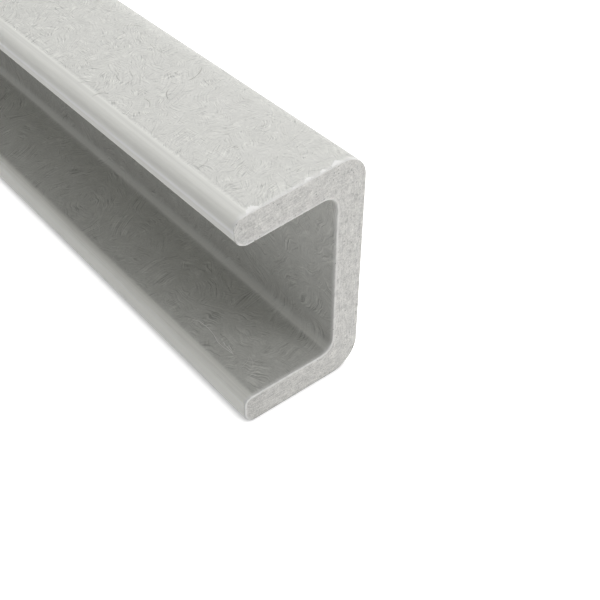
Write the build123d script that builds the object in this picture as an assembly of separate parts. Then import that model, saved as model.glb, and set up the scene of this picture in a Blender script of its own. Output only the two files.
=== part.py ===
from build123d import *
import math
import os

# A straight length of pultruded glass-fibre channel, lying on the outer face of its lower flange.
# Sizes are in millimetres. Y runs along the stock, +X is the web's side and +Z is up.
# The origin is at the middle of the stock's length and width, on the level that it lies on.

# Stock sizes
stock_length = 609.6
web_height = 50.8
flange_width = 27.8

# Walls of the section
web_thickness = 6.3
upper_flange_thickness = 6.0
lower_flange_thickness = 6.6

# Rounding of the outside corners and of the inside corners
upper_heel_radius = 5.1
lower_heel_radius = 5.9
root_radius = 3.0

# Rounding of the flange tips: each has an outer edge and an edge that faces the channel
upper_tip_outer_radius = 1.8
upper_tip_inner_radius = 2.7
lower_tip_outer_radius = 2.7
lower_tip_inner_radius = 1.5

# A cured pultrusion closes up a little: each flange leans this many degrees into the channel
spring_in = 2.5

# Share of a flange's thickness that its tip's two rounded edges may take up
largest_tip_share = 0.96

corner_angle = math.radians(90 - spring_in)


def unit(degrees):
    """Unit vector in the section, turned anticlockwise from the web's side."""
    angle = math.radians(degrees)
    return Vector(math.cos(angle), math.sin(angle))


def flange_corners(heel, web_run, flange_run, thickness):
    """Sharp corners of one flange, from the tip's outer edge round to the inside corner at the web."""
    into_channel = (web_run - flange_run * math.cos(corner_angle)) / math.sin(corner_angle)
    outer_tip = heel + flange_run * flange_width
    inner_tip = outer_tip + into_channel * thickness
    root = heel + (web_run * thickness + flange_run * web_thickness) / math.sin(corner_angle)
    return outer_tip, inner_tip, root


def tip_rounding(outer_radius, inner_radius, thickness):
    """Radii of the outer and inner edge of a flange's tip, which together fit in its thickness."""
    fit = min(1, largest_tip_share * thickness / (outer_radius + inner_radius))
    return outer_radius * fit, inner_radius * fit


# The lower flange lies level, so the web leans by the spring-in and the upper flange by twice as much
web_up = unit(90 + spring_in)
lower_out = unit(180)
upper_out = unit(180 + 2 * spring_in)

lower_heel = Vector(0, 0)
upper_heel = lower_heel + web_up * web_height
lower_tip_outer, lower_tip_inner, lower_root = flange_corners(
    lower_heel, web_up, lower_out, lower_flange_thickness
)
upper_tip_outer, upper_tip_inner, upper_root = flange_corners(
    upper_heel, web_up * -1, upper_out, upper_flange_thickness
)
lower_outer_rounding, lower_inner_rounding = tip_rounding(
    lower_tip_outer_radius, lower_tip_inner_radius, lower_flange_thickness
)
upper_outer_rounding, upper_inner_rounding = tip_rounding(
    upper_tip_outer_radius, upper_tip_inner_radius, upper_flange_thickness
)

# Corners of the section in order round it, each with its rounding
outline = [
    (lower_heel, lower_heel_radius),
    (lower_tip_outer, lower_outer_rounding),
    (lower_tip_inner, lower_inner_rounding),
    (lower_root, root_radius),
    (upper_root, root_radius),
    (upper_tip_inner, upper_inner_rounding),
    (upper_tip_outer, upper_outer_rounding),
    (upper_heel, upper_heel_radius),
]
corners = [corner for corner, rounding in outline]
roundings = [rounding for corner, rounding in outline]

# The section, drawn once and run along the whole stock
with BuildPart() as stock:
    with BuildSketch(Plane.XZ):
        with BuildLine():
            FilletPolyline(corners, radius=roundings, close=True)
        make_face()
    extrude(amount=stock_length / 2, both=True)

# Set down on the floor, with the origin under its middle
extent = stock.part.bounding_box()
channel = Pos(-extent.center().X, 0, -extent.min.Z) * stock.part

os.makedirs("parts", exist_ok=True)
export_step(channel, "parts/channel.step")
print("channel", channel.bounding_box(), "volume", round(channel.volume))
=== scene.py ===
import math

import bmesh
import bpy
import numpy as np
from mathutils import Matrix, Vector


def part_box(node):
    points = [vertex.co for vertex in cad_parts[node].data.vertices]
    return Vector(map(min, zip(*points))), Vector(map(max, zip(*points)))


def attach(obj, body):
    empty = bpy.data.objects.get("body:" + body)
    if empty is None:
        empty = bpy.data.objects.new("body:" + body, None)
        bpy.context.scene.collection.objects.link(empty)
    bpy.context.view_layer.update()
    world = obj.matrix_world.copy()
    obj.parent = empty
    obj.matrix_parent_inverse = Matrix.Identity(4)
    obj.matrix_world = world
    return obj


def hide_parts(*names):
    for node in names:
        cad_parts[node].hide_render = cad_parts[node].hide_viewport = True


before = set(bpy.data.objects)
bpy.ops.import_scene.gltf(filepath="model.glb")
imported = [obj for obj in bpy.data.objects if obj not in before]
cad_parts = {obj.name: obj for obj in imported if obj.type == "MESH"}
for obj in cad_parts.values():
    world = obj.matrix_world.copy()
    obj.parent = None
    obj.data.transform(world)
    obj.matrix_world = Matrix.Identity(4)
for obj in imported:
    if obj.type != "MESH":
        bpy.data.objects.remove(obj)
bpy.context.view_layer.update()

bl_info = {
    "name": "Fibreglass channel",
    "version": (1, 0, 0),
    "blender": (4, 5, 0),
    "location": "View3D > Sidebar > Channel",
    "description": "Builds a sawn length of pultruded glass-fibre channel and the stage that it is shown on",
    "category": "Add Mesh",
}

# The stock lies along Y on the outer face of its lower flange. Its web is on the +X side, and the end
# that the camera sees is the one at the lowest Y. Sizes are in metres, and a comment says where they aren't.
NODE = "channel"
BODY = "root"
LOWEST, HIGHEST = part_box(NODE)
STOCK_LENGTH = HIGHEST.y - LOWEST.y
NEAR_END = LOWEST.y
MILLIMETRE = 0.001

# Lines that run along the stock, in millimetres round the outline from a tip's middle: more than nothing on
# the outer side and less on the side that faces the channel. They are the mat's edge, the die's joint lines
# on the tips, and the middle of the inside corners.
SEAM = 5.55
JOINT_LINE = 0.65
SECOND_JOINT = -0.45
ROOT_LINE = -23.1

# Frayed spots on the near end's upper edge, in millimetres: where each is, counted round the outline from
# the middle of the upper flange's tip, its half width, and how far it reaches back along the stock.
FRAYED_SPOTS = [(6.3, 1.5, 0.95), (14.6, 0.9, 0.40), (17.6, 1.2, 0.65), (20.7, 0.9, 0.60), (23.6, 1.4, 0.80)]

# Scratches on the lower flange's inner face: points across the stock and back from its near end, in
# millimetres. The short ones lie beside the lower end of the long one.
SCRATCHED_LEVEL = 6.6 * MILLIMETRE
SCRATCHES = [
    [(-7.9, 23.5), (-7.1, 22.2), (-6.9, 19.9), (-7.1, 17.5), (-7.7, 15.5), (-7.7, 13.5), (-7.3, 10.8)],
    [(-6.9, 14.6), (-7.1, 13.7)],
    [(-7.1, 13.3), (-7.2, 11.3)],
    [(-6.6, 13.3), (-6.8, 12.1)],
]


# Settings that a user would change

class ChannelSizes(bpy.types.PropertyGroup):
    """Sizes of the section."""

    web_height: bpy.props.FloatProperty(
        name="Web height",
        description="Height of the section along its web, heel to heel",
        default=50.8 * MILLIMETRE,
        precision=4,
        unit="LENGTH",
    )
    flange_width: bpy.props.FloatProperty(
        name="Flange width",
        description="Width of each flange, from its heel to its tip",
        default=27.8 * MILLIMETRE,
        precision=4,
        unit="LENGTH",
    )
    web_thickness: bpy.props.FloatProperty(
        name="Web thickness",
        description="Wall thickness of the web",
        default=6.3 * MILLIMETRE,
        precision=4,
        unit="LENGTH",
    )
    upper_flange_thickness: bpy.props.FloatProperty(
        name="Upper flange thickness",
        description="Wall thickness of the upper flange",
        default=6.0 * MILLIMETRE,
        precision=4,
        unit="LENGTH",
    )
    lower_flange_thickness: bpy.props.FloatProperty(
        name="Lower flange thickness",
        description="Wall thickness of the lower flange",
        default=6.6 * MILLIMETRE,
        precision=4,
        unit="LENGTH",
    )
    upper_heel_radius: bpy.props.FloatProperty(
        name="Upper heel radius",
        description="Rounding of the upper outside corner",
        default=5.1 * MILLIMETRE,
        precision=4,
        unit="LENGTH",
    )
    lower_heel_radius: bpy.props.FloatProperty(
        name="Lower heel radius",
        description="Rounding of the lower outside corner",
        default=5.9 * MILLIMETRE,
        precision=4,
        unit="LENGTH",
    )
    root_radius: bpy.props.FloatProperty(
        name="Root radius",
        description="Rounding of the two inside corners",
        default=3.0 * MILLIMETRE,
        precision=4,
        unit="LENGTH",
    )
    upper_tip_outer_radius: bpy.props.FloatProperty(
        name="Upper tip, outer radius",
        description="Rounding of the upper flange tip's outer edge",
        default=1.8 * MILLIMETRE,
        precision=4,
        unit="LENGTH",
    )
    upper_tip_inner_radius: bpy.props.FloatProperty(
        name="Upper tip, inner radius",
        description="Rounding of the upper flange tip's edge that faces the channel",
        default=2.7 * MILLIMETRE,
        precision=4,
        unit="LENGTH",
    )
    lower_tip_outer_radius: bpy.props.FloatProperty(
        name="Lower tip, outer radius",
        description="Rounding of the lower flange tip's outer edge",
        default=2.7 * MILLIMETRE,
        precision=4,
        unit="LENGTH",
    )
    lower_tip_inner_radius: bpy.props.FloatProperty(
        name="Lower tip, inner radius",
        description="Rounding of the lower flange tip's edge that faces the channel",
        default=1.5 * MILLIMETRE,
        precision=4,
        unit="LENGTH",
    )
    spring_in: bpy.props.FloatProperty(
        name="Spring-in",
        description="How far each flange leans into the channel",
        default=math.radians(2.5),
        subtype="ANGLE",
    )


class SurfaceLook(bpy.types.PropertyGroup):
    """Colours and relief of the moulded faces."""

    resin: bpy.props.FloatVectorProperty(
        name="Resin",
        description="Colour of the resin between the strands",
        default=(0.668, 0.669, 0.634),
        subtype="COLOR",
        min=0.0,
        max=1.0,
    )
    whitened: bpy.props.FloatVectorProperty(
        name="Whitened resin",
        description="Colour of bruised resin, loose glass and the flecks in the surface",
        default=(0.95, 0.946, 0.928),
        subtype="COLOR",
        min=0.0,
        max=1.0,
    )
    strand_contrast: bpy.props.FloatProperty(
        name="Strand contrast",
        description="How much the strands differ from the resin in tone",
        default=0.33,
        min=0.0,
        max=1.0,
    )
    strand_relief: bpy.props.FloatProperty(
        name="Strand relief",
        description="How far the strands in the surface stand out of it",
        default=0.016 * MILLIMETRE,
        precision=6,
        unit="LENGTH",
    )
    waviness: bpy.props.FloatProperty(
        name="Waviness",
        description="How far the moulded faces stray from flat",
        default=0.03 * MILLIMETRE,
        precision=6,
        unit="LENGTH",
    )
    seam_height: bpy.props.FloatProperty(
        name="Seam height",
        description="Height of the fine ridges that the die's joints leave along the flange tips",
        default=0.05 * MILLIMETRE,
        precision=6,
        unit="LENGTH",
    )
    strand_density: bpy.props.FloatProperty(
        name="Strand density",
        description="Bundles of proud strands on each square metre",
        default=7000.0,
        min=0.0,
    )


class SawnLook(bpy.types.PropertyGroup):
    """Colours and relief of the sawn ends."""

    core: bpy.props.FloatVectorProperty(
        name="Core",
        description="Colour of the sawn laminate",
        default=(0.694, 0.685, 0.658),
        subtype="COLOR",
        min=0.0,
        max=1.0,
    )
    rim: bpy.props.FloatVectorProperty(
        name="Rim",
        description="Colour of the resin-rich layer round the sawn face",
        default=(0.88, 0.874, 0.848),
        subtype="COLOR",
        min=0.0,
        max=1.0,
    )
    edge_wear: bpy.props.FloatProperty(
        name="Edge wear",
        description="Width of the worn bevel along the sawn edges",
        default=0.18 * MILLIMETRE,
        precision=6,
        unit="LENGTH",
    )
    burr_size: bpy.props.FloatProperty(
        name="Burr size",
        description="Size of the larger shards that the saw leaves on the edges",
        default=0.45 * MILLIMETRE,
        precision=6,
        unit="LENGTH",
    )


class StageLook(bpy.types.PropertyGroup):
    """The view, the floor and the lights."""

    lens: bpy.props.FloatProperty(
        name="Lens",
        description="Focal length of the camera",
        default=55.851,
        subtype="DISTANCE_CAMERA",
    )
    azimuth: bpy.props.FloatProperty(
        name="Azimuth",
        description="Direction that the camera looks from, turned about the upright axis",
        default=math.radians(-41.817),
        subtype="ANGLE",
    )
    elevation: bpy.props.FloatProperty(
        name="Elevation",
        description="Height of the camera over the level plane, as an angle",
        default=math.radians(42.118),
        subtype="ANGLE",
    )
    roll: bpy.props.FloatProperty(
        name="Roll",
        description="Tip of the camera about its own axis",
        default=math.radians(2.7223),
        subtype="ANGLE",
    )
    distance: bpy.props.FloatProperty(
        name="Distance",
        description="From the camera to the point on the near end that it is aimed at",
        default=0.16351,
        precision=4,
        unit="LENGTH",
    )
    aim_across: bpy.props.FloatProperty(
        name="Aim across",
        description="The aimed point's place across the stock",
        default=-0.00058,
        precision=5,
        unit="LENGTH",
    )
    aim_height: bpy.props.FloatProperty(
        name="Aim height",
        description="The aimed point's height over the floor",
        default=0.02464,
        precision=5,
        unit="LENGTH",
    )
    brightness: bpy.props.FloatProperty(
        name="Brightness",
        description="Factor on the power of every soft light",
        default=1.0,
        min=0.0,
    )
    sky: bpy.props.FloatProperty(
        name="Sky",
        description="Strength of the even light from all round",
        default=0.02,
        min=0.0,
    )
    floor_bounce: bpy.props.FloatProperty(
        name="Floor bounce",
        description="Share of the light that the floor throws back on the stock",
        default=0.92,
        min=0.0,
        max=1.0,
    )


# Sums done by nodes

class Wire:
    """A value on its way between nodes. Plain arithmetic on it adds the node that does the sum."""

    def __init__(self, tree, socket):
        self.tree = tree
        self.socket = socket

    def __add__(self, other):
        return calculate("ADD", self, other)

    def __radd__(self, other):
        return calculate("ADD", other, self)

    def __sub__(self, other):
        return calculate("SUBTRACT", self, other)

    def __rsub__(self, other):
        return calculate("SUBTRACT", other, self)

    def __mul__(self, other):
        return calculate("MULTIPLY", self, other)

    def __rmul__(self, other):
        return calculate("MULTIPLY", other, self)

    def __truediv__(self, other):
        return calculate("DIVIDE", self, other)

    def __rtruediv__(self, other):
        return calculate("DIVIDE", other, self)


def put(tree, kind, inputs=None, **settings):
    """Adds a node, sets its settings, and feeds its inputs values, wires or other nodes' first outputs."""
    node = tree.nodes.new(kind)
    for name, value in settings.items():
        setattr(node, name, value)
    for name, value in (inputs or {}).items():
        if isinstance(value, bpy.types.Node):
            value = wire(value)
        if isinstance(value, Wire):
            tree.links.new(value.socket, node.inputs[name])
        else:
            node.inputs[name].default_value = value
    return node


def wire(node, output=0):
    """The wire that leaves a node at one of its outputs."""
    return Wire(node.id_data, node.outputs[output])


def calculate(operation, *values):
    """Wire that carries the result of one sum."""
    tree = next(value.tree for value in values if isinstance(value, Wire))
    return wire(put(tree, "ShaderNodeMath", dict(enumerate(values)), operation=operation))


def fade(value, start, end, low=0.0, high=1.0):
    """Goes smoothly from low to high as a value goes from start to end."""
    inputs = {0: value, 1: start, 2: end, 3: low, 4: high}
    return wire(put(value.tree, "ShaderNodeMapRange", inputs, interpolation_type="SMOOTHSTEP"))


def fade_out(value, start, end, high=1.0):
    """Falls smoothly to nothing as a value goes from start to end."""
    return fade(value, start, end, high, 0.0)


def line_at(value, place, half_width):
    """One on a place, falling to nothing at a half width each side of it."""
    return fade_out(calculate("ABSOLUTE", value - place), 0.0, half_width)


def point_of(x=0.0, y=0.0, z=0.0):
    """Wire that carries a vector made from three values."""
    tree = next(value.tree for value in (x, y, z) if isinstance(value, Wire))
    return wire(put(tree, "ShaderNodeCombineXYZ", {0: x, 1: y, 2: z}))


def parts_of(vector):
    """The three values in a vector."""
    node = put(vector.tree, "ShaderNodeSeparateXYZ", {0: vector})
    return [wire(node, index) for index in range(3)]


def scaled(tree, vector, factor):
    """A vector made longer or shorter, or a plain colour made lighter or darker."""
    return wire(put(tree, "ShaderNodeVectorMath", {0: vector, "Scale": factor}, operation="SCALE"))


def shifted(tree, vector, offset):
    """A vector with another added to it."""
    return wire(put(tree, "ShaderNodeVectorMath", {0: vector, 1: offset}, operation="ADD"))


def speckle(vector, scale, detail=2.0, roughness=0.5, dimensions="3D"):
    """Soft random tone from 0 to 1."""
    inputs = {"Vector": vector, "Scale": scale, "Detail": detail, "Roughness": roughness}
    return wire(put(vector.tree, "ShaderNodeTexNoise", inputs, noise_dimensions=dimensions))


def dots(vector, spacing, radius, kept):
    """Small round dots scattered at about a spacing, of which a share is kept."""
    inputs = {"Vector": vector, "Scale": 1.0 / spacing}
    cells = put(vector.tree, "ShaderNodeTexVoronoi", inputs, feature="F1", voronoi_dimensions="3D")
    chance, size, _ = parts_of(wire(cells, "Color"))
    beyond = wire(cells, "Distance") - radius / spacing * (size + 0.5)
    return fade_out(beyond, -0.4 * radius / spacing, 0.0) * calculate("LESS_THAN", chance, kept)


def blend_colours(first, second, share):
    """Colour between two others."""
    inputs = {0: share, 6: first, 7: second}
    return wire(put(share.tree, "ShaderNodeMix", inputs, data_type="RGBA"), 2)


def toned(colour, factor=1.0):
    """A colour made lighter or darker, with the fourth number that a node's input wants."""
    return (*[min(1.0, factor * part) for part in colour], 1.0)


# Materials

def cleared_tree(owner):
    """Node tree of a new material or world, with nothing in it."""
    owner.use_nodes = True
    owner.node_tree.nodes.clear()
    return owner.node_tree


def new_material(name):
    """New material and its empty tree."""
    material = bpy.data.materials.new(name)
    return material, cleared_tree(material)


def finish_material(tree, colour, roughness, height=None, depth=0.0):
    """Ends a material's tree with its surface, which stands up by a depth where the height is 1."""
    inputs = {"Base Color": colour, "Roughness": roughness}
    if height is not None:
        inputs["Normal"] = put(tree, "ShaderNodeBump", {"Height": height, "Distance": depth, "Strength": 1.0})
    surface = put(tree, "ShaderNodeBsdfPrincipled", inputs)
    put(tree, "ShaderNodeOutputMaterial", {"Surface": surface})


def named_value(tree, name):
    """Value of one of the mesh's own attributes, in a material."""
    return wire(put(tree, "ShaderNodeAttribute", attribute_name=name), "Fac")


def in_millimetres(tree, name):
    """One of the mesh's own lengths, in millimetres."""
    return named_value(tree, name) / MILLIMETRE


def place_in_millimetres(tree):
    """Place on the object, in millimetres."""
    return scaled(tree, wire(put(tree, "ShaderNodeTexCoord"), "Object"), 1.0 / MILLIMETRE)


def strand_patch_group():
    """Node group: patches of strands that lie side by side in arcs, each patch about a centre of its own."""
    tree = bpy.data.node_groups.new("Strand patches", "ShaderNodeTree")
    face = tree.interface
    face.new_socket(name="Place", in_out="INPUT", socket_type="NodeSocketVector")
    for name in ("Patch size", "Arc radius", "Strand width", "Strand length", "Seed"):
        face.new_socket(name=name, in_out="INPUT", socket_type="NodeSocketFloat")
    face.new_socket(name="Tone", in_out="OUTPUT", socket_type="NodeSocketFloat")
    given = put(tree, "NodeGroupInput")
    place, patch_size, arc_radius, width, length, seed = [wire(given, index) for index in range(6)]

    # Cells of the pattern, moved by the seed
    across, along, _ = parts_of(place)
    bend = (speckle(place, 0.3, detail=1.0, dimensions="2D") - 0.5) * patch_size * 0.3
    across = across + seed * 37.1 + bend
    along = along + seed * 61.7 - bend * 0.6
    inputs = {"Vector": point_of(across, along), "Scale": 1.0 / patch_size}
    cells = put(tree, "ShaderNodeTexVoronoi", inputs, feature="F1", voronoi_dimensions="2D")
    chance, spread, strength = parts_of(wire(cells, "Color"))
    middle_across, middle_along, _ = parts_of(wire(cells, "Position"))
    settings = {"feature": "DISTANCE_TO_EDGE", "voronoi_dimensions": "2D"}
    rims = put(tree, "ShaderNodeTexVoronoi", inputs, **settings)

    # The centre that a cell's strands turn about, and a place as seen from there
    bearing = chance * math.tau
    east = calculate("COSINE", bearing)
    north = calculate("SINE", bearing)
    radius = arc_radius * (spread * 1.1 + 0.6)
    from_centre_across = across - middle_across + east * radius
    from_centre_along = along - middle_along + north * radius
    outward = from_centre_across * east + from_centre_along * north
    sideways = from_centre_along * east - from_centre_across * north
    distance = calculate("SQRT", outward * outward + sideways * sideways)
    arc = calculate("ARCTAN2", sideways, outward) * radius

    # Streaks that are narrow across the arcs and long round them
    drawn_out = point_of(distance / width + strength * 90.0, arc / length + chance * 40.0, seed)
    streaks = speckle(drawn_out, 1.0, detail=1.0, roughness=0.4)
    pale = fade(streaks, 0.48, 0.70)
    dark = fade_out(streaks, 0.28, 0.47)
    inside = fade(wire(rims, "Distance"), 0.0, 0.25)
    put(tree, "NodeGroupOutput", {0: (pale * 0.85 - dark * 1.2) * inside * (strength * 0.5 + 0.4)})
    return tree


def strand_layer(group, place, patch_size, arc_radius, width, length, seed):
    """Tone of one layer of strand patches, about nothing. Sizes are in millimetres."""
    values = {0: place, 1: patch_size, 2: arc_radius, 3: width, 4: length, 5: seed}
    return wire(put(place.tree, "ShaderNodeGroup", values, node_tree=group))


class SkinPlace:
    """Where a place is on the moulded faces, in millimetres, and its share in each of their zones."""

    def __init__(self, tree):
        around = in_millimetres(tree, "around")
        self.from_tip = in_millimetres(tree, "from_tip")
        self.from_end = in_millimetres(tree, "from_end")
        self.fray = in_millimetres(tree, "fray")
        self.upper = named_value(tree, "upper")
        self.lower = 1.0 - self.upper
        self.place = place_in_millimetres(tree)
        _, self.along, _ = parts_of(self.place)
        self.laid_flat = point_of(around, self.along)

        # The mat stops short of the flange tips, at an edge that strays a little. That edge is sharp on the
        # outer side and soft on the side that faces the channel. The mat thins in the inside corners.
        stray = (speckle(point_of(self.along), 0.16, dimensions="2D") - 0.5) * 0.25
        self.beyond_seam = calculate("ABSOLUTE", self.from_tip) + stray - SEAM
        self.outer_side = fade(self.from_tip, -0.5, 0.5)
        sharp_edge = fade_out(self.beyond_seam, -0.35, 0.05)
        soft_edge = fade_out(self.beyond_seam, -1.7, -0.3)
        self.smooth = self.outer_side * sharp_edge + (1.0 - self.outer_side) * soft_edge
        self.corner = line_at(self.from_tip, ROOT_LINE, 1.5)
        self.mat = (1.0 - self.smooth) * (1.0 - self.corner * 0.8)
        self.inside = fade_out(self.from_tip, -5.2, -4.2)
        self.low_tip = line_at(self.from_tip, -0.6, 5.0) * self.lower

        # Broad and fine unevenness, and the fine lines that the die drags along the stock
        self.clouds = speckle(self.place, 0.11, detail=3.0) - 0.5
        self.grain = speckle(self.laid_flat, 2.2, detail=2.0, roughness=0.6) - 0.5
        drawn_along = point_of(around * 2.6, self.along * 0.035)
        self.drag = speckle(drawn_along, 1.0, detail=2.0, dimensions="2D") - 0.5


def strand_tone(at):
    """Tone of the strands that show in the mat, in layers with larger and smaller patches."""
    group = strand_patch_group()
    place = at.laid_flat
    wide = strand_layer(group, place, patch_size=8.0, arc_radius=11.0, width=0.32, length=6.0, seed=1.0)
    medium = strand_layer(group, place, patch_size=3.8, arc_radius=7.0, width=0.27, length=3.0, seed=2.0)
    small = strand_layer(group, place, patch_size=2.3, arc_radius=4.5, width=0.22, length=1.6, seed=3.0)
    thick_spots = fade(speckle(place, 0.33, detail=2.0), 0.35, 0.65)
    strands = wide * (at.inside * 0.5 + 0.7) + medium * (0.9 - at.inside * 0.3)
    strands = strands + small * (1.0 - at.inside * 0.6)
    return strands * at.mat * (thick_spots * 0.6 + 0.5)


def tip_paleness_and_painted_light(at):
    """How much lighter the flange tips are than the rest: partly paler smooth resin, partly painted light and
    shade over the rounding and the shoulder.
    """
    rounding = line_at(at.from_tip, 2.5, 0.9) * 0.13 + line_at(at.from_tip, -2.2, 1.6) * 0.28
    shoulder = line_at(at.from_tip, 4.6, 1.3) * 0.28 + line_at(at.from_tip, 3.7, 0.8) * 0.09
    low_side = line_at(at.from_tip, -0.6, 4.6) * 0.30 + line_at(at.from_tip, 1.4, 1.8) * 0.12
    return 1.32 + (rounding - shoulder) * at.upper + low_side * at.lower


def resin_gain(at, strands, strand_contrast):
    """How much lighter or darker than its colour the resin is at each place, painted light and shade
    included.
    """
    mottle = speckle(at.laid_flat, 0.42, detail=2.0) - 0.5
    gain = strands * strand_contrast + at.clouds * 0.10 + mottle * at.mat * 0.20 + at.grain * at.mat * 0.30
    # The drag lines, and the inside corners painted paler: partly resin-rich, partly a painted highlight
    # along the roots
    gain = gain + at.drag * (at.smooth * 0.16 + 0.03) + at.corner * 0.25
    gain = gain + line_at(at.from_tip, ROOT_LINE + 0.5, 0.5) * 0.12
    gain = gain + at.drag * at.smooth * at.lower * 0.2
    # Painted light on the flange tips, over their paler resin
    gain = gain + (tip_paleness_and_painted_light(at) - 1.0) * at.smooth + 1.0
    # Painted shade: the faces inside the channel are painted darker
    gain = gain * (1.0 - at.inside * 0.15)

    # The seam where the mat ends: a pale line, partly the mat's edge and partly a painted highlight on the
    # ridge there, with a fine dark line of painted shade beside it
    uneven = speckle(point_of(at.along), 0.5, dimensions="2D") * 0.8 + 0.4
    seam = line_at(at.beyond_seam, 0.0, 0.32) * uneven
    seam_shade = line_at(at.beyond_seam, 0.5, 0.3)
    return gain + (seam * 0.12 - seam_shade * 0.06) * at.outer_side


def joint_lines_and_highlight(at):
    """How white the die's two joint lines are: partly pale resin on the joints, partly a painted highlight on
    their ridges. They run along the tips and show most on the upper one.
    """
    first = line_at(at.from_tip, JOINT_LINE, 0.75) * (at.upper * 0.9 + 0.1)
    second = line_at(at.from_tip, SECOND_JOINT, 0.3) * at.upper * 0.3
    return calculate("MINIMUM", first + second, 1.0)


def bruised_share(at, flecks):
    """How white the flecks are, the resin that the saw bruised at the frayed spots, and the chipped edge."""
    ragged = (speckle(at.place, 2.6, detail=3.0) - 0.5) * 1.6
    bruise = fade(at.fray * (ragged + 1.7) - at.from_end, -0.02, 0.25)
    chipped = fade_out(at.from_end + ragged * 0.3, 0.2, 1.05, 0.5)
    chipped = chipped + fade_out(at.from_end + ragged * 0.25, 0.25, 0.8, 0.9) * at.low_tip
    whitened = calculate("MAXIMUM", flecks * 0.7, calculate("MAXIMUM", bruise, chipped))
    return calculate("MINIMUM", whitened, 1.0)


def skin_material(look):
    """Moulded faces: grey resin with patches of strands, flecks, and smooth flange tips with fine seams."""
    material, tree = new_material("pultruded_skin")
    at = SkinPlace(tree)
    strands = strand_tone(at)
    flecks = dots(at.laid_flat, spacing=2.6, radius=0.13, kept=0.2) * at.mat
    colour = scaled(tree, look.resin, resin_gain(at, strands, look.strand_contrast))
    # Painted highlight on the joint lines, over their pale resin
    colour = blend_colours(colour, toned(look.whitened, 1.1), joint_lines_and_highlight(at))
    colour = blend_colours(colour, toned(look.whitened), bruised_share(at, flecks))
    height = strands * 1.3 + at.grain * 0.8 * at.mat + flecks * 0.5 + at.drag * at.smooth * 0.6
    roughness = 0.50 + at.clouds * 0.15 + strands * 0.10 + at.smooth * 0.06 - at.corner * 0.12
    finish_material(tree, colour, roughness, height, look.strand_relief)
    return material


class SawnPlace:
    """Where a place is on a sawn face, in millimetres, and the laminate's grain and layers there."""

    def __init__(self, tree):
        self.along_wall = in_millimetres(tree, "along_wall")
        self.across_wall = in_millimetres(tree, "across_wall")
        self.from_edge = in_millimetres(tree, "from_edge")
        self.at_tip = named_value(tree, "at_tip")
        self.place = place_in_millimetres(tree)
        self.across, _, self.over_floor = parts_of(self.place)
        self.grain = speckle(self.place, 3.2, detail=3.0, roughness=0.7) - 0.5
        layered = point_of(self.along_wall * 0.45, self.across_wall * 3.4)
        self.layers = speckle(layered, 1.0, detail=3.0, dimensions="2D") - 0.5


def core_gain(at):
    """How much lighter or darker than its colour the sawn core is. Tips are darker, and a thin band along the
    floor is painted shade where the lower edge faces down.
    """
    clouds = speckle(at.place, 0.6, detail=2.0) - 0.5
    gain = at.grain * 1.1 + clouds * 0.45 + at.layers * 0.5 + 1.0
    # Painted shade along the lowest edge, by the floor
    return gain - at.at_tip * 0.09 - fade_out(at.over_floor, 0.1, 0.7, 0.24)


def rim_share(at):
    """Share of the resin-rich rim, wider round the tips and palest on the side that faces the channel."""
    strayed = at.from_edge + at.grain * 0.5
    rim = fade_out(strayed, 0.18, 0.6) * (fade(at.across_wall, 2.8, 3.6) * 0.9 + 0.1)
    rim = rim * fade(speckle(at.place, 0.9), 0.35, 0.6, 0.45, 1.0)
    tip_rim = fade_out(strayed, 0.5, 1.4) * at.at_tip * 0.15
    return calculate("MAXIMUM", rim, tip_rim)


def hollow_share(at):
    """Pits where glass pulled out, short gaps between layers, and coarser pits by the upper heel."""
    pits = dots(at.place, spacing=0.9, radius=0.20, kept=0.28)
    in_layers = point_of(at.along_wall * 0.35, at.across_wall, 3.0)
    gaps = dots(in_layers, spacing=0.6, radius=0.10, kept=0.2) * fade(speckle(at.place, 0.25), 0.45, 0.6)
    at_heel = fade(at.over_floor, 36.0, 46.0) * fade(at.across, 7.0, 10.0)
    drawn_across = point_of(at.across * 1.5, 0.0, at.over_floor * 0.8)
    heel_pits = dots(drawn_across, spacing=0.7, radius=0.17, kept=0.45) * at_heel
    return calculate("MAXIMUM", calculate("MAXIMUM", pits * 0.9, gaps * 0.8), heel_pits * 0.75)


def worn_and_highlight_share(tree, at):
    """Share of white along the edges: worn, with a painted highlight where they look up, and torn at the
    lower flange's tip.
    """
    _, _, looks_up = parts_of(wire(put(tree, "ShaderNodeNewGeometry"), "Normal"))
    low_tip = at.at_tip * fade_out(at.over_floor, 7.0, 8.0) * fade(at.over_floor, 0.4, 1.6)
    # White only where the bevel looks up: wear with a painted highlight
    worn = fade_out(at.from_edge + at.grain * 0.25, 0.12, 0.36, 0.9) * fade(looks_up, 0.05, 0.3)
    torn = fade_out(at.from_edge + at.grain * 0.8, 0.2, 0.6, 0.8) * low_tip
    return calculate("MAXIMUM", worn, torn)


def sawn_material(look, whitened):
    """Sawn laminate: layered along the walls, granular, with pits, cut glass and a paler resin-rich rim."""
    material, tree = new_material("sawn_laminate")
    at = SawnPlace(tree)
    cut_glass = dots(shifted(tree, at.place, (7.3, 0.0, 4.9)), spacing=0.7, radius=0.11, kept=0.25)
    hollow = hollow_share(at)
    colour = scaled(tree, look.core, core_gain(at))
    colour = blend_colours(colour, toned(look.rim), rim_share(at))
    # Painted shade: the pits and gaps are painted darker
    colour = blend_colours(colour, toned(look.core, 0.5), hollow)
    # White edges, part of them a painted highlight, and cut glass
    white_share = calculate("MAXIMUM", worn_and_highlight_share(tree, at), cut_glass * 0.45)
    colour = blend_colours(colour, toned(whitened), white_share)
    height = at.grain * 1.2 + at.layers * 0.5 - hollow * 1.6 + cut_glass * 0.4
    finish_material(tree, colour, 0.70 + at.grain * 0.2, height, 0.02 * MILLIMETRE)
    return material


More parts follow.
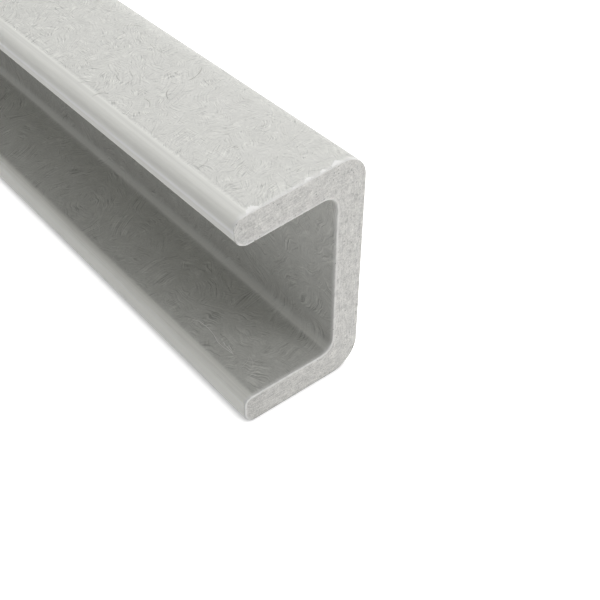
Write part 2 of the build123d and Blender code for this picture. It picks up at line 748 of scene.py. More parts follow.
def loose_glass_material(look):
    """Torn resin and glass on the sawn edges: nearly white, with a little grey in its folds."""
    material, tree = new_material("loose_glass")
    tone = speckle(place_in_millimetres(tree), 5.0, detail=2.0)
    colour = blend_colours(toned(look.whitened, 0.8), toned(look.whitened), tone)
    finish_material(tree, colour, 0.55 + tone * 0.2)
    return material


def proud_strand_material(look):
    """Strands that stand out of the surface: the resin's grey, some paler and some darker."""
    material, tree = new_material("proud_strand")
    tone = speckle(place_in_millimetres(tree), 0.35, detail=1.0)
    colour = blend_colours(toned(look.resin, 0.84), toned(look.resin, 1.06), fade(tone, 0.4, 0.6))
    finish_material(tree, colour, 0.42 + tone * 0.15)
    return material


# The section

def unit(angle):
    """Unit vector in the section, turned anticlockwise from the web's side."""
    return Vector((math.cos(angle), math.sin(angle)))


def flange_corners(sizes, heel, web_run, flange_run, thickness):
    """Sharp corners of one flange: outer and inner at its tip, and the inside corner at the web."""
    corner_angle = math.radians(90) - sizes.spring_in
    into_channel = (web_run - flange_run * math.cos(corner_angle)) / math.sin(corner_angle)
    outer_tip = heel + flange_run * sizes.flange_width
    inner_tip = outer_tip + into_channel * thickness
    root = heel + (web_run * thickness + flange_run * sizes.web_thickness) / math.sin(corner_angle)
    return outer_tip, inner_tip, root


def wall_paths(sizes):
    """Corners and roundings of the wall's outer and inner paths, both from the lower tip to the upper."""
    web_up = unit(math.radians(90) + sizes.spring_in)
    lower_out = unit(math.radians(180))
    upper_out = unit(math.radians(180) + 2 * sizes.spring_in)
    lower_heel = Vector((0.0, 0.0))
    upper_heel = lower_heel + web_up * sizes.web_height
    lower = flange_corners(sizes, lower_heel, web_up, lower_out, sizes.lower_flange_thickness)
    upper = flange_corners(sizes, upper_heel, -web_up, upper_out, sizes.upper_flange_thickness)
    lower_tip = (lower[0] + lower[1]) / 2
    upper_tip = (upper[0] + upper[1]) / 2
    outer = [lower_tip, lower[0], lower_heel, upper_heel, upper[0], upper_tip]
    inner = [lower_tip, lower[1], lower[2], upper[2], upper[1], upper_tip]
    outer_radii = [sizes.lower_tip_outer_radius, sizes.lower_heel_radius]
    outer_radii += [sizes.upper_heel_radius, sizes.upper_tip_outer_radius]
    inner_radii = [sizes.lower_tip_inner_radius, sizes.root_radius]
    inner_radii += [sizes.root_radius, sizes.upper_tip_inner_radius]
    return (outer, outer_radii), (inner, inner_radii)


def run_points(start, end, shares):
    """Points at some shares of a straight run."""
    return [start.lerp(end, share) for share in shares]


def arc_points(before, corner, after, radius, shares):
    """Points at some shares of the arc that rounds a corner."""
    back = (before - corner).normalized()
    onward = (after - corner).normalized()
    half_angle = back.angle(onward) / 2
    centre = corner + (back + onward).normalized() * radius / math.sin(half_angle)
    start = corner + back * radius / math.tan(half_angle) - centre
    end = corner + onward * radius / math.tan(half_angle) - centre
    turn = start.angle_signed(end)
    return [centre + Matrix.Rotation(-turn * share, 2) @ start for share in shares]


def even_shares(steps):
    """Shares of a stretch cut into equal steps, without its end."""
    return [step / steps for step in range(steps)]


def flange_shares(tip_first):
    """Shares of a flange's flat: fine steps next to the tip, where the mat ends, and coarse ones after."""
    fine_share = 0.07
    fine_steps = 10
    coarse_steps = 30
    shares = [fine_share * step / fine_steps for step in range(fine_steps)]
    shares += [fine_share + (1 - fine_share) * step / coarse_steps for step in range(coarse_steps)]
    if tip_first:
        return shares
    return sorted(1 - share for share in shares[1:] + [1.0])


def rounded_path(corners, radii):
    """Points along a path with rounded corners, equally many on the outer path and on the inner one."""
    run_steps = [even_shares(3), flange_shares(True), even_shares(52), flange_shares(False), even_shares(3)]
    arc_steps = [even_shares(30), even_shares(14), even_shares(14), even_shares(30)]
    rounded = []
    for index, radius in enumerate(radii):
        before, corner, after = corners[index : index + 3]
        rounded.append(arc_points(before, corner, after, radius, arc_steps[index] + [1.0]))
    points = []
    for index, shares in enumerate(run_steps):
        start = rounded[index - 1][-1] if index > 0 else corners[0]
        end = rounded[index][0] if index < len(rounded) else corners[-1]
        points += run_points(start, end, shares)
        if index < len(rounded):
            points += rounded[index][:-1]
    return points + [corners[-1]]


def new_mesh(name, places, edges, faces):
    """Mesh made from points, and from edges or faces between them."""
    mesh = bpy.data.meshes.new(name)
    mesh.from_pydata(places, edges, faces)
    return mesh


def add_object(name, data):
    """New object in the scene."""
    made = bpy.data.objects.new(name, data)
    bpy.context.scene.collection.objects.link(made)
    return made


def distances_along(points):
    """How far each point of a path is from its start."""
    distances = [0.0]
    for first, second in zip(points, points[1:]):
        distances.append(distances[-1] + (second - first).length)
    return distances


def distance_to_outline(points, outline):
    """Shortest distance from each point to a closed outline."""
    starts = np.array(outline)
    steps = np.roll(starts, -1, axis=0) - starts
    lengths = np.maximum((steps**2).sum(axis=1), 1e-18)
    nearest = []
    for point in np.array(points):
        shares = np.clip(((point - starts) * steps).sum(axis=1) / lengths, 0.0, 1.0)
        gaps = starts + steps * shares[:, None] - point
        nearest.append(math.sqrt((gaps**2).sum(axis=1).min()))
    return nearest


def fray_at(from_upper_tip):
    """How far back the resin is bruised on the near end, at a place counted from the upper tip's middle."""
    reach = 0.0
    for place, half_width, depth in FRAYED_SPOTS:
        share = abs(from_upper_tip / MILLIMETRE - place) / half_width
        if share < 1:
            reach = max(reach, depth * MILLIMETRE * (1 - share**2))
    return reach


def section_points(sizes):
    """The section's outer path and its inner one, set down where the stock lies."""
    outer_path, inner_path = wall_paths(sizes)
    outer = rounded_path(*outer_path)
    inner = rounded_path(*inner_path)
    across = [point.x for point in outer + inner]
    lowest = min(point.y for point in outer + inner)
    middle = (min(across) + max(across)) / 2
    shift = Vector(((LOWEST.x + HIGHEST.x) / 2 - middle, LOWEST.z - lowest))
    outer = [point + shift for point in outer]
    inner = [point + shift for point in inner]
    return outer, inner


# Shares of the wall's thickness at which the sawn face has points, drawn together towards its edges
ACROSS_SHARES = [0.0, 0.02, 0.05, 0.10, 0.18, 0.28, 0.39, 0.5, 0.61, 0.72, 0.82, 0.90, 0.95, 0.98, 1.0]

# How far round the outline the flange tips reach
TIP_REACH = 6.0 * MILLIMETRE


def section_mesh(sizes):
    """Flat mesh of the section in the XZ plane, with the values that the tree and the materials read."""
    outer, inner = section_points(sizes)
    outer_run = distances_along(outer)
    inner_run = distances_along(inner)
    middle_run = distances_along([(a + b) / 2 for a, b in zip(outer, inner)])
    outline = outer + inner[-2:0:-1]
    rows = []
    points = []
    values = {}
    last = len(outer) - 1
    for column in range(len(outer)):
        row = []
        for share in ACROSS_SHARES:
            if column in (0, last) and share > 0:
                row.append(row[0])
                continue
            row.append(len(points))
            points.append(outer[column].lerp(inner[column], share))
            is_inner = share > 0.5
            run = inner_run if is_inner else outer_run
            from_lower = run[column]
            from_upper = run[-1] - run[column]
            near_tip = min(from_lower, from_upper)
            side = -1.0 if is_inner else 1.0
            measured = {
                "around": side * from_lower,
                "from_tip": side * near_tip,
                "fray": 0.0 if is_inner else fray_at(from_upper),
                "upper": 1.0 if from_upper < from_lower else 0.0,
                "along_wall": middle_run[column],
                "across_wall": share * (inner[column] - outer[column]).length,
                "at_tip": 1.0 if near_tip < TIP_REACH else 0.0,
            }
            for name, value in measured.items():
                values.setdefault(name, []).append(value)
        rows.append(row)
    values["from_edge"] = distance_to_outline(points, outline)
    faces = []
    for first, second in zip(rows, rows[1:]):
        for index in range(len(ACROSS_SHARES) - 1):
            ring = [first[index], second[index], second[index + 1], first[index + 1]]
            faces.append(list(dict.fromkeys(ring)))
    mesh = new_mesh("section", [(point.x, 0.0, point.y) for point in points], [], faces)
    for name, numbers in values.items():
        mesh.attributes.new(name, "FLOAT", "POINT").data.foreach_set("value", numbers)
    return mesh


# Geometry trees

def geometry_tree(name, **inputs):
    """New geometry tree with named inputs: its input and output nodes, and the wires of its inputs."""
    tree = bpy.data.node_groups.new(name, "GeometryNodeTree")
    kinds = {float: "NodeSocketFloat", int: "NodeSocketInt", bpy.types.Material: "NodeSocketMaterial"}
    tree.interface.new_socket(name="Geometry", in_out="INPUT", socket_type="NodeSocketGeometry")
    for label, kind in inputs.items():
        tree.interface.new_socket(name=label.replace("_", " "), in_out="INPUT", socket_type=kinds[kind])
    tree.interface.new_socket(name="Geometry", in_out="OUTPUT", socket_type="NodeSocketGeometry")
    given = put(tree, "NodeGroupInput")
    return tree, [wire(given, index) for index in range(len(inputs) + 1)]


def finish_tree(tree, geometry, material=None):
    """Ends a tree with real geometry, in one material where its parts don't have their own already."""
    last = put(tree, "GeometryNodeRealizeInstances", {"Geometry": geometry})
    if material is not None:
        last = put(tree, "GeometryNodeSetMaterial", {"Geometry": last, "Material": material})
    put(tree, "NodeGroupOutput", {0: last})


def joined(tree, *parts):
    """Node that joins some geometry, in its order."""
    node = put(tree, "GeometryNodeJoinGeometry")
    for part in parts:
        tree.links.new(part.outputs[0], node.inputs[0])
    return node


def own_value(tree, name):
    """Value of one of the mesh's own attributes, in a geometry tree."""
    return wire(put(tree, "GeometryNodeInputNamedAttribute", {"Name": name}, data_type="FLOAT"))


def baked(name, mesh, tree, inputs):
    """Plain mesh that a geometry tree makes from another, as a new object."""
    source = add_object(name + "_source", mesh)
    modifier = source.modifiers.new(name, "NODES")
    modifier.node_group = tree
    identifiers = {
        item.name: item.identifier
        for item in tree.interface.items_tree
        if item.item_type == "SOCKET" and item.in_out == "INPUT"
    }
    for label, value in inputs.items():
        modifier[identifiers[label]] = value
    evaluated = source.evaluated_get(bpy.context.evaluated_depsgraph_get())
    result = bpy.data.meshes.new_from_object(evaluated)
    bpy.data.objects.remove(source)
    if not result.polygons:
        raise RuntimeError(name + " came out of its tree with no faces")
    result.name = name
    return add_object(name, result)


# Over this reach at each end the steps along the stock are drawn together, down to this share of their length
GATHERED_REACH = 40.0 * MILLIMETRE
GATHERED_STEP = 0.06

# Points nearer than this to each other, or to an edge, count as touching
TOUCHING = 0.001 * MILLIMETRE


def swept_walls(tree, section, half, stations, skin):
    """The section's outline swept along the stock, with its stations drawn together towards the ends."""
    neighbours = put(tree, "GeometryNodeInputMeshEdgeNeighbors")
    has_one_face = {2: neighbours, 3: 1}
    is_rim = put(tree, "FunctionNodeCompare", has_one_face, data_type="INT", operation="EQUAL")
    outline = put(tree, "GeometryNodeMeshToCurve", {"Mesh": section, "Selection": is_rim})
    quarter_turn = (math.radians(90), 0.0, 0.0)
    drawn = put(tree, "GeometryNodeTransform", {"Geometry": outline, "Rotation": quarter_turn})
    ends = {"Start": point_of(0.0, half * -1.0), "End": point_of(0.0, half)}
    line = put(tree, "GeometryNodeCurvePrimitiveLine", ends)
    spine = put(tree, "GeometryNodeResampleCurve", {"Curve": line, "Count": stations})
    swept = put(tree, "GeometryNodeCurveToMesh", {"Curve": spine, "Profile Curve": drawn})

    # Close stations keep the worn edges narrow
    _, along, _ = parts_of(wire(put(tree, "GeometryNodeInputPosition")))
    from_end = half - calculate("ABSOLUTE", along)
    step_share = fade(from_end, 0.0, GATHERED_REACH, GATHERED_STEP, 1.0)
    shift = from_end * (1.0 - step_share) * calculate("SIGN", along)
    gathered = put(tree, "GeometryNodeSetPosition", {"Geometry": swept, "Offset": point_of(0.0, shift)})
    smooth = put(tree, "GeometryNodeSetShadeSmooth", {"Geometry": gathered, "Shade Smooth": True})
    return put(tree, "GeometryNodeSetMaterial", {"Geometry": smooth, "Material": skin})


def sawn_faces(tree, section, half, sawn_face):
    """The section set on both ends of the stock."""
    ends = []
    for along in (half * -1.0, half):
        inputs = {"Geometry": section, "Translation": point_of(0.0, along)}
        ends.append(put(tree, "GeometryNodeTransform", inputs))
    both = {"Geometry": joined(tree, *ends), "Shade Smooth": False}
    flat = put(tree, "GeometryNodeSetShadeSmooth", both)
    return put(tree, "GeometryNodeSetMaterial", {"Geometry": flat, "Material": sawn_face})


def wall_lift(tree, place, waviness, seam_height):
    """How far the walls stand out: long gentle waves in them, and the fine ridges along the flange tips."""
    from_tip = own_value(tree, "from_tip")
    upper = own_value(tree, "upper")
    waves = (speckle(place, 24.0, detail=1.0) - 0.5) * 2.0 * waviness
    mat_ridge = line_at(from_tip, SEAM * MILLIMETRE, 0.35 * MILLIMETRE) * seam_height * 0.6
    joint_step = fade(from_tip, (JOINT_LINE + 0.35) * MILLIMETRE, (JOINT_LINE - 0.35) * MILLIMETRE)
    joint_step = joint_step * fade(from_tip, -4.5 * MILLIMETRE, -0.5 * MILLIMETRE) * 1.4
    second_step = line_at(from_tip, SECOND_JOINT * MILLIMETRE, 0.3 * MILLIMETRE) * 0.4
    joints = (joint_step + second_step) * (upper * 0.85 + 0.15)
    return waves + mat_ridge + joints * seam_height


def wear_inward(place, edge_wear):
    """How far a sawn edge is worn back along the stock, with nicks in it."""
    _, along, _ = parts_of(place)
    nicks = fade(speckle(place, 900.0, detail=2.0), 0.60, 0.72)
    wear = edge_wear * (speckle(place, 1500.0, detail=1.0) * 0.8 + 0.3 + nicks * 0.6)
    return point_of(0.0, calculate("SIGN", along) * wear * -1.0)


def stock_tree():
    """Tree that sweeps the section along the stock, caps it, and gives its faces and edges their relief."""
    tree, wires = geometry_tree(
        "Pultruded stock",
        Length=float,
        Stations=int,
        Waviness=float,
        Seam_height=float,
        Edge_wear=float,
        Skin=bpy.types.Material,
        Sawn_face=bpy.types.Material,
    )
    section, length, stations, waviness, seam_height, edge_wear, skin, sawn_face = wires
    half = length * 0.5
    walls = swept_walls(tree, section, half, stations, skin)
    whole = joined(tree, walls, sawn_faces(tree, section, half, sawn_face))
    closed = put(tree, "GeometryNodeMergeByDistance", {"Geometry": whole, "Distance": TOUCHING})

    # How far each point is from the nearer end
    place = wire(put(tree, "GeometryNodeInputPosition"))
    _, along, _ = parts_of(place)
    from_end = half - calculate("ABSOLUTE", along)
    inputs = {"Geometry": closed, "Name": "from_end", "Value": from_end}
    kind = {"data_type": "FLOAT", "domain": "POINT"}
    measured = put(tree, "GeometryNodeStoreNamedAttribute", inputs, **kind)

    # The relief of the walls, and the worn bevel along the sawn edges
    on_walls = calculate("GREATER_THAN", from_end, TOUCHING)
    lift = wall_lift(tree, place, waviness, seam_height) * on_walls
    raised = scaled(tree, put(tree, "GeometryNodeInputNormal"), lift)
    shaped = put(tree, "GeometryNodeSetPosition", {"Geometry": measured, "Offset": raised})
    on_edge = calculate("LESS_THAN", own_value(tree, "from_edge"), TOUCHING * 0.1)
    at_end = calculate("LESS_THAN", own_value(tree, "from_end"), TOUCHING * 0.1)
    worn_back = wear_inward(place, edge_wear)
    inputs = {"Geometry": shaped, "Selection": on_edge * at_end, "Offset": worn_back}
    finish_tree(tree, put(tree, "GeometryNodeSetPosition", inputs))
    return tree


def burr_strength(from_lower, from_upper, is_inner):
    """Share of places on the near end's edge where the saw left a shard, at one point of its outline."""
    if from_lower < 4.0 * MILLIMETRE:
        return 0.6
    if is_inner:
        return 0.5 if from_lower < 22.0 * MILLIMETRE else 0.2
    return 0.6 if fray_at(from_upper) > 0 else 0.12


def outline_normals(points):
    """Direction that the surface faces at each point of a closed outline."""
    normals = []
    for index in range(len(points)):
        along = points[(index + 1) % len(points)] - points[index - 1]
        normals.append(Vector((along.y, -along.x)).normalized())
    area = sum(a.x * b.y - a.y * b.x for a, b in zip(points, points[1:] + points[:1]))
    return normals if area > 0 else [-normal for normal in normals]


def edge_mesh(sizes):
    """Outline of both ends as loose edges, with each point's share of shards and the way that it faces."""
    outer, inner = section_points(sizes)
    outer_run = distances_along(outer)
    inner_run = distances_along(inner)
    points = []
    strengths = []
    for path, run, is_inner in ((outer, outer_run, False), (inner[-2:0:-1], inner_run[-2:0:-1], True)):
        whole = inner_run[-1] if is_inner else outer_run[-1]
        for point, travelled in zip(path, run):
            points.append(point)
            strengths.append(burr_strength(travelled, whole - travelled, is_inner))
    facing = outline_normals(points)
    count = len(points)
    ends = [(NEAR_END, 1.0), (HIGHEST.y, 0.5)]
    places = [(point.x, along, point.y) for along, _ in ends for point in points]
    edges = []
    for end in range(len(ends)):
        start = end * count
        edges += [(start + index, start + (index + 1) % count) for index in range(count)]
    mesh = new_mesh("sawn_edges", places, edges, [])
    values = [share * strength for _, share in ends for strength in strengths]
    mesh.attributes.new("strength", "FLOAT", "POINT").data.foreach_set("value", values)
    vectors = [number for _ in ends for normal in facing for number in (normal.x, 0.0, normal.y)]
    mesh.attributes.new("facing", "FLOAT_VECTOR", "POINT").data.foreach_set("vector", vectors)
    return mesh


def random_between(tree, low, high, seed):
    """Random value for each point, or random vector where the limits are vectors."""
    first, output, kind = (0, 0, "FLOAT_VECTOR") if isinstance(low, tuple) else (2, 1, "FLOAT")
    inputs = {first: low, first + 1: high, "Seed": seed}
    return wire(put(tree, "FunctionNodeRandomValue", inputs, data_type=kind), output)


def burr_tree():
    """Tree that strews small flat shards along the sawn edges, mostly just back from them."""
    tree, wires = geometry_tree(
        "Saw burrs", Spacing=float, Size=float, Reach=float, Seed=int, Glass=bpy.types.Material
    )
    edges, spacing, size, reach, seed, glass = wires
    curve = put(tree, "GeometryNodeMeshToCurve", {"Mesh": edges})
    evenly = {"Curve": curve, "Length": spacing}
    resampled = put(tree, "GeometryNodeResampleCurve", evenly, mode="LENGTH")
    points = put(tree, "GeometryNodeCurveToPoints", {"Curve": resampled}, mode="EVALUATED")

    # Where the shards lie, and which of them are kept
    _, along, _ = parts_of(wire(put(tree, "GeometryNodeInputPosition")))
    back = random_between(tree, 0.0, 1.0, seed)
    inward = calculate("SIGN", along) * back * back * reach * -1.0
    strayed = 0.04 * MILLIMETRE
    jitter = random_between(tree, (-strayed,) * 3, (strayed,) * 3, seed + 1)
    offset = shifted(tree, jitter, point_of(0.0, inward))
    strewn = put(tree, "GeometryNodeSetPosition", {"Geometry": points, "Offset": offset})
    strength = own_value(tree, "strength")
    kept = calculate("LESS_THAN", random_between(tree, 0.0, 1.0, seed + 2), strength)

    # Each lies nearly flat on the surface, turned at random
    shard = put(tree, "GeometryNodeMeshIcoSphere", {"Radius": 1.0, "Subdivisions": 1})
    facing = put(tree, "GeometryNodeInputNamedAttribute", {"Name": "facing"}, data_type="FLOAT_VECTOR")
    lying = put(tree, "FunctionNodeAlignRotationToVector", {"Vector": facing}, axis="Z")
    tilt = random_between(tree, (-0.3, -0.3, 0.0), (0.3, 0.3, math.tau), seed + 3)
    turn = {"Rotation": lying, "Rotate By": tilt}
    turned = put(tree, "FunctionNodeRotateRotation", turn, rotation_space="LOCAL")
    proportions = random_between(tree, (0.25, 0.15, 0.05), (0.8, 0.5, 0.14), seed + 4)
    grown = scaled(tree, proportions, size * (strength * 0.6 + 0.2))
    inputs = {"Points": strewn, "Selection": kept, "Instance": shard, "Rotation": turned, "Scale": grown}
    finish_tree(tree, put(tree, "GeometryNodeInstanceOnPoints", inputs), glass)
    return tree


def rib_along(tree, path, sides, width):
    """Closed rib with a few sides along a path."""
    ring = put(tree, "GeometryNodeCurvePrimitiveCircle", {"Resolution": sides, "Radius": width * 0.5})
    inputs = {"Curve": path, "Profile Curve": ring, "Fill Caps": True}
    return put(tree, "GeometryNodeCurveToMesh", inputs)


def scratch_mesh():
    """The scratches as loose edges on the lower flange's inner face."""
    places = []
    edges = []
    for scratch in SCRATCHES:
        start = len(places)
        for across, from_end in scratch:
            along = NEAR_END + from_end * MILLIMETRE
            places.append((across * MILLIMETRE, along, SCRATCHED_LEVEL))
        edges += [(index, index + 1) for index in range(start, len(places) - 1)]
    return new_mesh("scratch_lines", places, edges, [])


def scratch_tree():
    """Tree that draws each scratch as a thin rib of torn resin that comes and goes."""
    tree, wires = geometry_tree("Scratches", Width=float, Step=float, Torn_resin=bpy.types.Material)
    lines, width, step, torn = wires
    curve = put(tree, "GeometryNodeMeshToCurve", {"Mesh": lines})
    fine = put(tree, "GeometryNodeResampleCurve", {"Curve": curve, "Length": step}, mode="LENGTH")
    place = wire(put(tree, "GeometryNodeInputPosition"))
    swell = fade(speckle(place, 1400.0, detail=1.0), 0.35, 0.65, 0.15, 1.0)
    varied = put(tree, "GeometryNodeSetCurveRadius", {"Curve": fine, "Radius": swell})
    finish_tree(tree, rib_along(tree, varied, 5, width), torn)
    return tree


def flat_faces_mesh(sizes):
    """The flat faces of the stock as plain rectangles that look outwards, without the flange tips."""
    outer_path, inner_path = wall_paths(sizes)
    shift = section_points(sizes)[0][0] - outer_path[0][0]
    mat_start = SEAM * MILLIMETRE - sizes.upper_flange_thickness / 2
    places = []
    faces = []
    for (corners, radii), outward in ((outer_path, 1.0), (inner_path, -1.0)):
        for index in (1, 2, 3):
            start = corners[index] + shift
            end = corners[index + 1] + shift
            run = (end - start).normalized()
            first = start + run * (mat_start if index == 1 else radii[index - 1])
            last = end - run * (mat_start if index == 3 else radii[index])
            corner = len(places)
            half = STOCK_LENGTH / 2 - MILLIMETRE
            places += [(first.x, -half, first.y), (last.x, -half, last.y)]
            places += [(last.x, half, last.y), (first.x, half, first.y)]
            ring = [corner, corner + 1, corner + 2, corner + 3]
            faces.append(ring if outward > 0 else ring[::-1])
    return new_mesh("flat_faces", places, [], faces)


# The strands in a bundle: how much wider than the bundle's arc each one's is, in millimetres, the angle that
# it sweeps and the angle that it starts at
BUNDLE = [(0.0, 0.9, -0.4), (0.42, 0.55, -0.5), (-0.38, 0.7, -0.1)]


def arc_strand(tree, radius, angle, start_angle, width):
    """One strand as a low closed rib along an arc."""
    inputs = {"Resolution": 7, "Radius": radius, "Start Angle": start_angle, "Sweep Angle": angle}
    arc = put(tree, "GeometryNodeCurveArc", inputs)
    inputs = {"Geometry": arc, "Translation": point_of(radius * -1.0)}
    return rib_along(tree, put(tree, "GeometryNodeTransform", inputs), 4, width)


def strand_tree():
    """Tree that scatters bundles of curved strands, half sunk, over the flat faces."""
    tree, wires = geometry_tree(
        "Proud strands",
        Density=float,
        Radius=float,
        Width=float,
        Proud=float,
        Seed=int,
        Strand=bpy.types.Material,
    )
    faces, density, radius, width, proud, seed, strand = wires
    strands = []
    for wider, angle, start in BUNDLE:
        strands.append(arc_strand(tree, radius + wider * MILLIMETRE, angle, start, width))
    smooth = {"Geometry": joined(tree, *strands), "Shade Smooth": True}
    bundle = put(tree, "GeometryNodeSetShadeSmooth", smooth)
    inputs = {"Mesh": faces, "Density": density, "Seed": seed}
    points = put(tree, "GeometryNodeDistributePointsOnFaces", inputs, distribute_method="RANDOM")
    spin = point_of(0.0, 0.0, random_between(tree, 0.0, math.tau, seed + 1))
    turn = {"Rotation": wire(points, "Rotation"), "Rotate By": spin}
    turned = put(tree, "FunctionNodeRotateRotation", turn, rotation_space="LOCAL")
    spread = random_between(tree, (0.45, 0.45, 0.0), (1.3, 1.3, 0.0), seed + 2)
    flattened = shifted(tree, spread, point_of(0.0, 0.0, proud / width * 2.0))
    inputs = {"Points": points, "Instance": bundle, "Rotation": turned, "Scale": flattened}
    finish_tree(tree, put(tree, "GeometryNodeInstanceOnPoints", inputs), strand)
    return tree


def outward_faces(made):
    """Turns the faces of a closed mesh outwards."""
    work = bmesh.new()
    work.from_mesh(made.data)
    bmesh.ops.recalc_face_normals(work, faces=work.faces)
    work.to_mesh(made.data)
    work.free()


def add_piece(name, mesh, tree, inputs):
    """Bakes a piece from its tree and makes it part of the stock."""
    made = baked(name, mesh, tree, inputs)
    outward_faces(made)
    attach(made, BODY)
    return made


# Operators

class CHANNEL_OT_stock(bpy.types.Operator):
    """Sweep the section into the stock and saw its ends"""

    bl_idname = "channel.stock"
    bl_label = "Stock"

    def execute(self, context):
        scene = context.scene
        look = scene.channel_surface
        inputs = {
            "Length": STOCK_LENGTH,
            "Stations": 150,
            "Waviness": look.waviness,
            "Seam height": look.seam_height,
            "Edge wear": scene.channel_sawn.edge_wear,
            "Skin": skin_material(look),
            "Sawn face": sawn_material(scene.channel_sawn, look.whitened),
        }
        made = add_piece("channel_body", section_mesh(scene.channel_sizes), stock_tree(), inputs)
        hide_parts(NODE)
        return {"FINISHED"}


class CHANNEL_OT_burrs(bpy.types.Operator):
    """Strew the shards that the saw left along the edges of both ends"""

    bl_idname = "channel.burrs"
    bl_label = "Saw burrs"

    def execute(self, context):
        scene = context.scene
        inputs = {
            "Spacing": 0.13 * MILLIMETRE,
            "Size": scene.channel_sawn.burr_size,
            "Reach": 0.45 * MILLIMETRE,
            "Seed": 11,
            "Glass": loose_glass_material(scene.channel_surface),
        }
        add_piece("saw_burrs", edge_mesh(scene.channel_sizes), burr_tree(), inputs)
        return {"FINISHED"}


class CHANNEL_OT_strands(bpy.types.Operator):
    """Scatter the strands that stand out of the flat faces"""

    bl_idname = "channel.strands"
    bl_label = "Proud strands"

    def execute(self, context):
        scene = context.scene
        look = scene.channel_surface
        inputs = {
            "Density": look.strand_density,
            "Radius": 3.6 * MILLIMETRE,
            "Width": 0.2 * MILLIMETRE,
            "Proud": 0.016 * MILLIMETRE,
            "Seed": 5,
            "Strand": proud_strand_material(look),
        }
        add_piece("proud_strands", flat_faces_mesh(scene.channel_sizes), strand_tree(), inputs)
        return {"FINISHED"}


class CHANNEL_OT_scratches(bpy.types.Operator):
    """Scratch the inside of the lower flange"""

    bl_idname = "channel.scratches"
    bl_label = "Scratches"

    def execute(self, context):
        inputs = {
            "Width": 0.13 * MILLIMETRE,
            "Step": 0.2 * MILLIMETRE,
            "Torn resin": loose_glass_material(context.scene.channel_surface),
        }
        add_piece("scratches", scratch_mesh(), scratch_tree(), inputs)
        return {"FINISHED"}


class CHANNEL_OT_stage(bpy.types.Operator):
    """Set up the floor, the lights and the camera"""

    bl_idname = "channel.stage"
    bl_label = "Stage"

    def execute(self, context):
        look = context.scene.channel_stage
        add_floor(look)
        add_sky(look)
        for name, (place, size, power) in SOFT_LIGHTS.items():
            add_soft_light(name, place, size, power * look.brightness)
        add_camera(look)
        return {"FINISHED"}


# The stage

WHITE = (1.0, 1.0, 1.0)

# Soft lights: where each stands, the length of its side, and its power in watts
SOFT_LIGHTS = {
    "ceiling": ((0.0, -0.15, 1.2), 1.8, 9.7),
    "front_right": ((0.55, -1.25, 0.3), 0.5, 5.4),
    "right": ((1.0, -0.5, 0.3), 0.5, 0.8),
    "back_right": ((0.6, 0.5, 1.0), 0.6, 7.1),
    "left_low": ((-1.0, -0.35, 0.12), 0.3, 0.79),
}


def seen_directly(tree):
    """One for rays from the camera and for those that a glossy or clear surface sends on."""
    path = put(tree, "ShaderNodeLightPath")
    seen = wire(path, "Is Camera Ray") + wire(path, "Is Glossy Ray") + wire(path, "Is Transmission Ray")
    return calculate("MINIMUM", seen, 1.0)


def add_floor(look):
    """Plain pale floor that shows white, with a painted contact shadow where its glow dims next to the stock,
    and a faint shadow where it is less lit.
    """
    reach = 6.0
    gap = 0.05 * MILLIMETRE
    corners = [(-reach, -reach, -gap), (reach, -reach, -gap), (reach, reach, -gap), (-reach, reach, -gap)]
    mesh = new_mesh("floor", corners, [], [(0, 1, 2, 3)])
    material, tree = new_material("pale_floor")
    thrown_back = put(tree, "ShaderNodeBsdfDiffuse", {"Color": toned(WHITE, look.floor_bounce)})
    lit = put(tree, "ShaderNodeBsdfDiffuse", {"Color": toned(WHITE, 0.5)})
    shade_reach = {"Distance": 3.0 * MILLIMETRE}
    # The glow dims by ambient occlusion next to the stock: a painted contact shadow
    openness = wire(put(tree, "ShaderNodeAmbientOcclusion", shade_reach, samples=16), "AO")
    strength = fade(openness, 0.2, 0.76, 0.27, 0.92) + fade(openness, 0.9, 0.99, 0.0, 0.1)
    glow = put(tree, "ShaderNodeEmission", {"Color": toned(WHITE), "Strength": strength})
    shown = put(tree, "ShaderNodeAddShader", {0: lit, 1: glow})
    mixed = put(tree, "ShaderNodeMixShader", {0: seen_directly(tree), 1: thrown_back, 2: shown})
    put(tree, "ShaderNodeOutputMaterial", {"Surface": mixed})
    mesh.materials.append(material)
    add_object("floor", mesh)


def add_sky(look):
    """World that is white where it is seen and softly dim where it lights the stock."""
    world = bpy.data.worlds.new("studio")
    tree = cleared_tree(world)
    light = put(tree, "ShaderNodeBackground", {"Color": toned(WHITE), "Strength": look.sky})
    shown = put(tree, "ShaderNodeBackground", {"Color": toned(WHITE), "Strength": 1.0})
    mixed = put(tree, "ShaderNodeMixShader", {0: seen_directly(tree), 1: light, 2: shown})
    put(tree, "ShaderNodeOutputWorld", {"Surface": mixed})
    bpy.context.scene.world = world


def add_soft_light(name, place, size, power):
    """Square soft light that faces the near half of the stock."""
    aim = Vector((0.0, NEAR_END / 2, 0.02))
    lamp = bpy.data.lights.new(name, "AREA")
    lamp.size = size
    lamp.energy = power
    light = add_object(name, lamp)
    light.location = place
    light.rotation_euler = (Vector(place) - aim).to_track_quat("Z", "Y").to_euler()


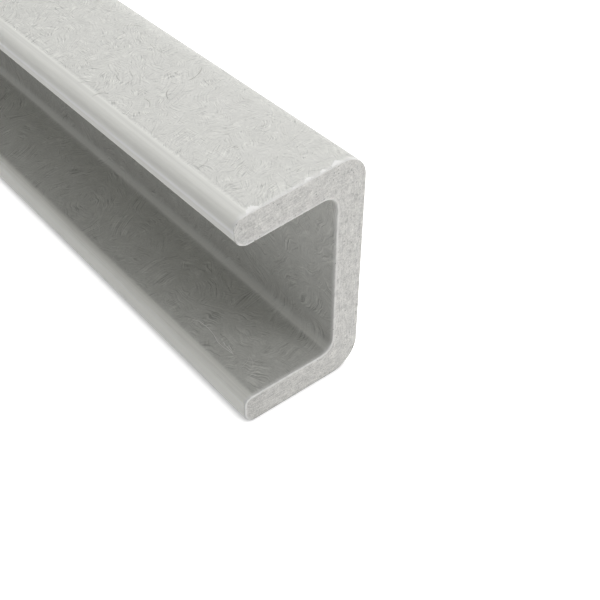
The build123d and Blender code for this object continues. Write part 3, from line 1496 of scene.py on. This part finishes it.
def add_camera(look):
    """Camera on the near end, from the open side and above."""
    level = math.cos(look.elevation)
    back = Vector((math.sin(look.azimuth) * level, -math.cos(look.azimuth) * level, math.sin(look.elevation)))
    right = Vector((0.0, 0.0, 1.0)).cross(back).normalized()
    upright = Matrix((right, back.cross(right), back)).transposed()
    aim = Vector((look.aim_across, NEAR_END, look.aim_height))
    lens = bpy.data.cameras.new("view")
    lens.lens = look.lens
    lens.clip_start = 0.01
    camera = add_object("view", lens)
    turned = upright @ Matrix.Rotation(look.roll, 3, "Z")
    camera.matrix_world = Matrix.Translation(aim + back * look.distance) @ turned.to_4x4()
    bpy.context.scene.camera = camera
    bpy.context.scene.view_settings.view_transform = "Standard"


class CHANNEL_PT_panel(bpy.types.Panel):
    """Lists the pieces."""

    bl_idname = "CHANNEL_PT_panel"
    bl_label = "Fibreglass channel"
    bl_space_type = "VIEW_3D"
    bl_region_type = "UI"
    bl_category = "Channel"

    def draw(self, context):
        for operator in PIECES:
            self.layout.operator(operator.bl_idname)


PIECES = (
    CHANNEL_OT_stock,
    CHANNEL_OT_burrs,
    CHANNEL_OT_strands,
    CHANNEL_OT_scratches,
    CHANNEL_OT_stage,
)
SETTINGS = {
    "channel_sizes": ChannelSizes,
    "channel_surface": SurfaceLook,
    "channel_sawn": SawnLook,
    "channel_stage": StageLook,
}


def register():
    """Adds the settings, the operators and the panel to Blender."""
    for name, group in SETTINGS.items():
        bpy.utils.register_class(group)
        setattr(bpy.types.Scene, name, bpy.props.PointerProperty(type=group))
    for operator in PIECES:
        bpy.utils.register_class(operator)
    bpy.utils.register_class(CHANNEL_PT_panel)


def unregister():
    """Takes them out again."""
    bpy.utils.unregister_class(CHANNEL_PT_panel)
    for operator in reversed(PIECES):
        bpy.utils.unregister_class(operator)
    for name, group in reversed(SETTINGS.items()):
        delattr(bpy.types.Scene, name)
        bpy.utils.unregister_class(group)


def main():
    """Builds everything in order."""
    register()
    bpy.ops.channel.stock()
    bpy.ops.channel.burrs()
    bpy.ops.channel.strands()
    bpy.ops.channel.scratches()
    bpy.ops.channel.stage()


if __name__ == "__main__":
    main()
